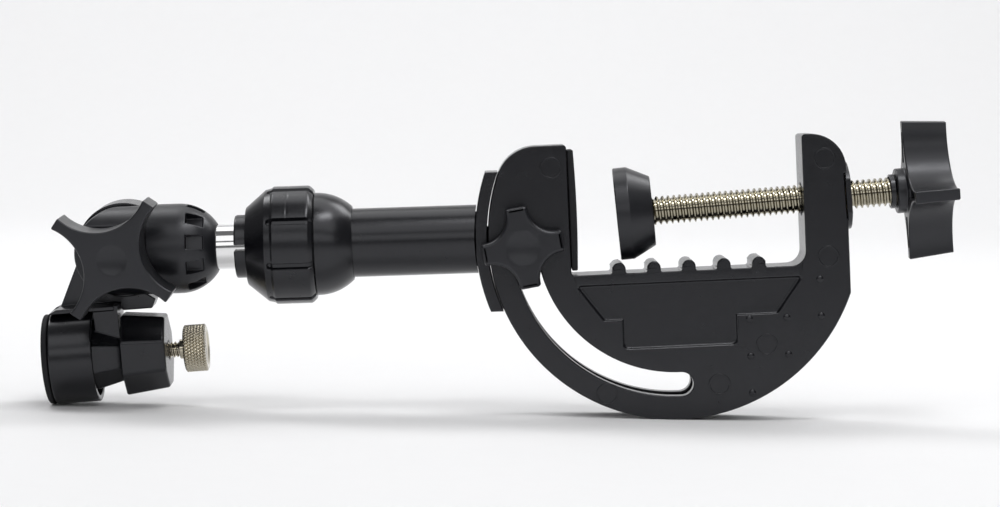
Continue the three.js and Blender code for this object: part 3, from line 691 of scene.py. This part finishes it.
def twist_nut():
    outside = rounded([
        (NUT_START, 17.4, 0), (NUT_START, 18.9, 0.9), (126.2, NUT_RADIUS, 1.6),
        (138.4, NUT_RADIUS, 0.5), (139.2, 19.8, 0.3), (141.3, 19.3, 0.3),
        (NUT_END, 13.4, 0.7), (NUT_END, 11.5, 0.2), (143.4, 11.3, 0), (143.4, 15.5, 0),
        (NUT_START, 15.5, 0)], 0.3, steps=5)
    dense = []
    for i, here in enumerate(outside):
        after = outside[(i + 1) % len(outside)]
        outer = here[1] > 17 and after[1] > 17
        parts = max(1, math.ceil(math.dist(here, after) / 0.35)) if outer else 1
        dense += [(here[0] + (after[0] - here[0]) * k / parts,
                   here[1] + (after[1] - here[1]) * k / parts) for k in range(parts)]
    steps = 384
    rows = []
    for s, r in dense:
        row = []
        for k in range(steps):
            angle = 2 * math.pi * k / steps
            radius = r
            if r > 17:
                sector = 2 * math.pi / NUT_SLOTS
                off = abs((angle - math.radians(NUT_PHASE) + sector / 2) % sector - sector / 2) * r
                run = max(0, s - (NUT_SLOT["end"] - NUT_SLOT["half"]), NUT_SLOT["start"] - s - 2)
                away = math.hypot(off, run)
                radius -= NUT_SLOT["depth"] * (1 - smooth_step(away, NUT_SLOT["half"] - 0.45,
                                                               NUT_SLOT["half"] + 0.1))
                radius -= 0.12 * (1 - smooth_step(abs(s - 133.5), 0.05, 0.22))
                radius = max(radius, 16)
            row.append((-s, radius * math.cos(angle), radius * math.sin(angle)))
        rows.append(row)
    bm = bmesh.new()
    sheet_faces(bm, rows, wrap_rows=True)
    return tidy(bm)


piece("twist_nut_body", twist_nut(), IN_TUBE, "twist_nut", "satin_black", ["twist_nut"])


def collet():
    start, end, outer, inner, slit = 121.0, 152.3, 10.95, 7.8, 1.1
    slit_end, wide = 131, 12
    profile = out([(start, inner), (start, outer), (end, outer, 0.7), (end, inner)])
    ring = turned(rounded(profile, 0.3), closed=True)
    ring = cut(ring, box(-end - 1, -slit_end, -slit, slit, -wide, wide),
               box(-end - 1, -slit_end, -wide, wide, -slit, slit))
    return eased(ring, 0.25, 2, 50)


piece("split_collet_body", collet(), IN_TUBE, "carriage", "satin_black", ["split_collet"])


# rod and knuckle cup ------------------------------------------------------
ROD_RADIUS, ROD_BORE, ROD_START, ROD_END = 7.7, 5.9, 76.6, 169.1
piece("rod_body", ring_x(ROD_RADIUS, ROD_BORE, -ROD_END, -ROD_START, 0.4, 128), IN_ROD, "rod",
      "chrome_rod", ["rod"])
refined("rod_guide", "rod_slider", "knob_black", 0.3)
refined("cup_screw", "rod", "steel", 0.2)

PIVOT = 191.5
LUG, LUG_FRONT, LUG_BACK, DRUM, DRUM_FRONT, DRUM_BACK = 15.4, -12.0, -0.9, 16.4, 0.9, 16.0
CUP = dict(radius=15.56, centre=171.7, start=158.6, floor=169.4, end=182.0)
WINDOW = dict(count=10, phase=3.7, start=162.6, end=168.6, half=2.4, floor=11.9)


def knuckle_cup():
    first = math.degrees(math.acos((CUP["centre"] - CUP["start"]) / CUP["radius"]))
    ball = [(CUP["centre"] - x, r) for x, r in arc(CUP["radius"], first, 90, step=4)]
    reach = PIVOT + LUG
    outside = turned(out([(CUP["start"], 0), *ball, (reach, CUP["radius"]), (reach, 0)]))
    keep = joined(bar_y(LUG, LUG_FRONT, LUG_BACK, -PIVOT),
                  box(-PIVOT, -CUP["end"], LUG_FRONT, LUG_BACK, -LUG, LUG),
                  box(-CUP["end"] - 0.01, -150, -20, 20, -20, 20))
    tools = [bar_y(DRUM + 0.6, LUG_BACK, 20, -PIVOT), bar_x(ROD_RADIUS + 0.3, -CUP["floor"], -150),
             bar_y(BOLT_ROOM, -20, 20, -PIVOT, steps=32), bar_x(2.3, -174.4, -168.4, 24),
             bar_x(3.9, -177, -172.4, 32)]
    w = WINDOW
    corners = rounded([(-w["end"], -w["half"]), (-w["start"], -w["half"]), (-w["start"], w["half"]),
                       (-w["end"], w["half"])], 0.5)
    for i in range(w["count"]):
        turn = Matrix.Rotation(math.radians(90 + w["phase"] + 360 * i / w["count"]), 4, "X")
        tools.append(moved(prism(corners, w["floor"], 18), turn))
    return eased(cut(kept(outside, keep), *tools), 0.35)


piece("knuckle_cup_body", knuckle_cup(), IN_ROD, "rod", "knob_black", ["knuckle_cup"])


# head ---------------------------------------------------------------------
AXIS_X, AXIS_Z = -1.3, -36.1
ON_AXIS = Matrix.Translation((AXIS_X, 0, AXIS_Z))
HUB = dict(left=-13.8, right=-1.7, wide=12.0, narrow=9.0, spigot=5.4, spigot_end=-21.0)


def octagon_taper(x0, r0, x1, r1):
    bm = bmesh.new()
    rows = [[(x, y, z) for y, z in ngon(r, 8, 22.5)] for x, r in ((x0, r0), (x1, r1))]
    verts = sheet_faces(bm, rows)
    for row in verts:
        bm.faces.new(row)
    return tidy(bm)


def head_bracket():
    foot = [(-22.7, -18.3), (-26.2, -19.9), (-2, -19.9), (-1.2, -21.4), (9, -21.4), (10.6, -18.2)]
    web = [(-16.2, -2), *((AXIS_X + x, z) for x, z in foot), (5, -15.2)]
    hood = [(AXIS_X + x, z) for x, z in ((-26.2, -19.9), (-22.9, -18.3), (-3, -18.3), (-3, -19.9))]
    bracket = joined(
        bar_y(DRUM, DRUM_FRONT, DRUM_BACK), prism(web, 3, 14), prism(hood, -7, 4),
        box(AXIS_X - 10.4, AXIS_X - 1.8, -6.5, 9, AXIS_Z + 5, -18.4),
        moved(octagon_taper(HUB["left"], HUB["wide"], HUB["right"], HUB["narrow"]), ON_AXIS),
        moved(bar_x(HUB["spigot"], HUB["spigot_end"], HUB["left"] + 1), ON_AXIS))
    bracket = cut(bracket, moved(bar_x(3.2, -40, 20, 48), ON_AXIS), bar_y(BOLT_ROOM, -20, 20, steps=48),
                  prism(ngon(5.8, 6, 0), 12, 18))
    return eased(bracket, 0.4)


piece("head_bracket_body", head_bracket(), IN_HEAD, "head", "satin_black", ["head_bracket"])
refined("friction_disc", "head", "rubber", 0.15)
refined("knuckle_bolt", "head", "steel", 0.25)
refined("knuckle_washer", "head", "steel", 0.2)

KNUCKLE_BACK, KNUCKLE_NECK = -16.1, -13.8
KNUCKLE_FRONT = -31.4
KNUCKLE_REACH, KNUCKLE_TIP, KNUCKLE_CORE = 22.9, 2.2, 10.0


def knuckle_knob():
    arms = moved(prism(four_arms(KNUCKLE_REACH, KNUCKLE_TIP, KNUCKLE_CORE), KNUCKLE_FRONT,
                       KNUCKLE_BACK),
                 Matrix.Rotation(-KNUCKLE_TURN, 4, "Y"))
    knob = eased(joined(arms, bar_y(KNOB_HUB, KNUCKLE_BACK - 1, KNUCKLE_NECK)), 0.6)
    hollow = dish([(0, 0), (0.3, 3.0), (0.75, 4.7), (1.1, 5.6), (3, 5.8), (3, 0)],
                  KNUCKLE_FRONT + 1.1)
    return cut(knob, hollow, bar_y(BOLT_ROOM, KNUCKLE_FRONT + 4, -10, steps=32))


piece("knuckle_knob_body", knuckle_knob(), IN_HEAD, "knuckle_knob", "knob_black",
      ["knuckle_knob", "knuckle_knob_cap"])

# platform
DISC = dict(radius=15.9, left=-26.0, right=-10.8, recess=3.4, lip=2.0, bore=5.8)
platform = turned(rounded([
    (DISC["left"], DISC["bore"], 0.2), (DISC["left"], DISC["radius"], 0.7),
    (DISC["right"], DISC["radius"], 0.6), (DISC["right"], DISC["radius"] - DISC["lip"], 0.4),
    (DISC["right"] - DISC["recess"], DISC["radius"] - DISC["lip"], 0.4),
    (DISC["right"] - DISC["recess"], DISC["bore"], 0.2)], 0.3), 128, closed=True)
piece("platform_disc_body", moved(platform, ON_AXIS), IN_HEAD, "platform", "satin_black",
      ["platform_disc"])
piece("platform_pad_body", moved(ring_x(15.6, 4.0, -28.3, -26.3, 0.5, 128), ON_AXIS), IN_HEAD,
      "platform", "rubber", ["platform_pad"])


def guide_block():
    block = octagon_taper(-1.2, 14.0, 14.0, 12.4)
    return moved(eased(cut(block, bar_x(5.4, -3, 8, 48), bar_x(3.2, -5, 20, 48)), 0.9, 4), ON_AXIS)


piece("guide_block_body", guide_block(), IN_HEAD, "head", "satin_black", ["guide_block"])
refined("screw_clip", "screw_slider", "steel", 0.12)


def mount_screw():
    thread = threaded(-29.0, 18.2, 2.8, 2.25, 1.27, 32)
    collar = turned(rounded([(17.9, 0), (17.9, 3.4), (19.6, 3.4), (19.6, 0)], 0.2, closed=False), 48)
    return moved(add_to(thread, collar), ON_AXIS)


def screw_knob():
    """A knurled head: two families of fine grooves crossing on the rim."""
    left, right, radius, teeth, depth = 19.6, 27.4, 8.2, 44, 0.42
    edge = 0.7
    profile = [(left, 0.0), (left, radius - 2.4), (left, radius - edge)]
    rim = 44
    for i in range(rim + 1):
        x = left + edge * 0.6 + (right - left - 1.2 * edge) * i / rim
        profile.append((x, radius))
    profile += [(right, radius - edge), (right, radius - 2.2), (right - 0.35, radius - 2.6),
                (right - 0.35, 0.0)]
    steps = teeth * 8
    rows = []
    for x, r in profile:
        row = []
        for k in range(steps):
            angle = 2 * math.pi * k / steps
            radius_here = r
            if r >= radius - 1e-6:
                lean = (x - left) / 1.05
                a = abs(((angle * teeth / (2 * math.pi) + lean * 0.5) % 1) - 0.5) * 2
                c = abs(((angle * teeth / (2 * math.pi) - lean * 0.5) % 1) - 0.5) * 2
                radius_here = r - depth * max(smooth_step(a, 0.55, 1), smooth_step(c, 0.55, 1))
            row.append((x, radius_here * math.cos(angle), radius_here * math.sin(angle)))
        rows.append(row)
    bm = bmesh.new()
    sheet_faces(bm, rows)
    return moved(tidy(bm), ON_AXIS)


piece("mount_screw_thread", mount_screw(), IN_HEAD, "mount_screw", "nickel", ["mount_screw"], smooth=50)
piece("screw_knob_knurled", screw_knob(), IN_HEAD, "mount_screw", "nickel", ["screw_knob"], smooth=60)

# ---------------------------------------------------------------- studio
def paper():
    """A white sheet that runs under the object and curves up behind it."""
    near, turn_at, curve, height, half = -1.6, 1.3, 0.9, 3.0, 3.2
    line = [(near, 0.0), (0, 0.0)]
    line += [(turn_at + y, curve + z) for y, z in arc(curve, -90, 0, step=6)]
    line.append((turn_at + curve, height))
    bm = bmesh.new()
    sides = [[bm.verts.new((x, y, z)) for y, z in line] for x in (-half, half)]
    for i in range(len(line) - 1):
        bm.faces.new((sides[0][i], sides[1][i], sides[1][i + 1], sides[0][i + 1]))
    o = as_object(bm, "paper")
    bpy.context.scene.collection.objects.link(o)
    for polygon in o.data.polygons:
        polygon.use_smooth = True
    m = material("paper", (0.86, 0.86, 0.865), 0.75, mottle=0.01, height=0.02, worn_and_highlit=(0.8, 0.8, 0.8))
    o.data.materials.append(m)


def softbox(name, at, target, size, power, colour=(1, 1, 1)):
    data = bpy.data.lights.new(name, "AREA")
    data.shape, data.size, data.size_y = "RECTANGLE", *size
    data.energy, data.color = power, colour
    o = bpy.data.objects.new(name, data)
    bpy.context.scene.collection.objects.link(o)
    toward = (Vector(target) - Vector(at)).normalized()
    o.matrix_world = Matrix.Translation(at) @ toward.to_track_quat("-Z", "Y").to_matrix().to_4x4()


paper()
softbox("overhead", (0.1, 0.35, 1.2), (0.02, 0.2, 0.0), (1.6, 0.8), 5.5)
softbox("key", (0.2, -0.35, 1.1), (0.0, 0.0, 0.05), (0.5, 0.25), 3.4)
softbox("front_top", (0.0, -1.0, 1.2), (0.0, 0.0, 0.05), (2.2, 0.8), 6)
softbox("front_low", (0.0, -1.5, 0.55), (0.0, 0.0, 0.05), (2.4, 0.45), 4)
softbox("backdrop_left", (-0.9, 0.9, 1.5), (-0.2, 1.6, 0.5), (0.9, 0.9), 12.5)
softbox("backdrop_right", (0.9, 0.9, 1.5), (0.2, 1.6, 0.5), (0.9, 0.9), 12.5)

world = bpy.data.worlds.new("studio")
bpy.context.scene.world = world
world.use_nodes = True
world.node_tree.nodes["Background"].inputs["Color"].default_value = (1.0, 1.0, 1.02, 1)
world.node_tree.nodes["Background"].inputs["Strength"].default_value = 0.16
bpy.context.scene.view_settings.view_transform = "Standard"
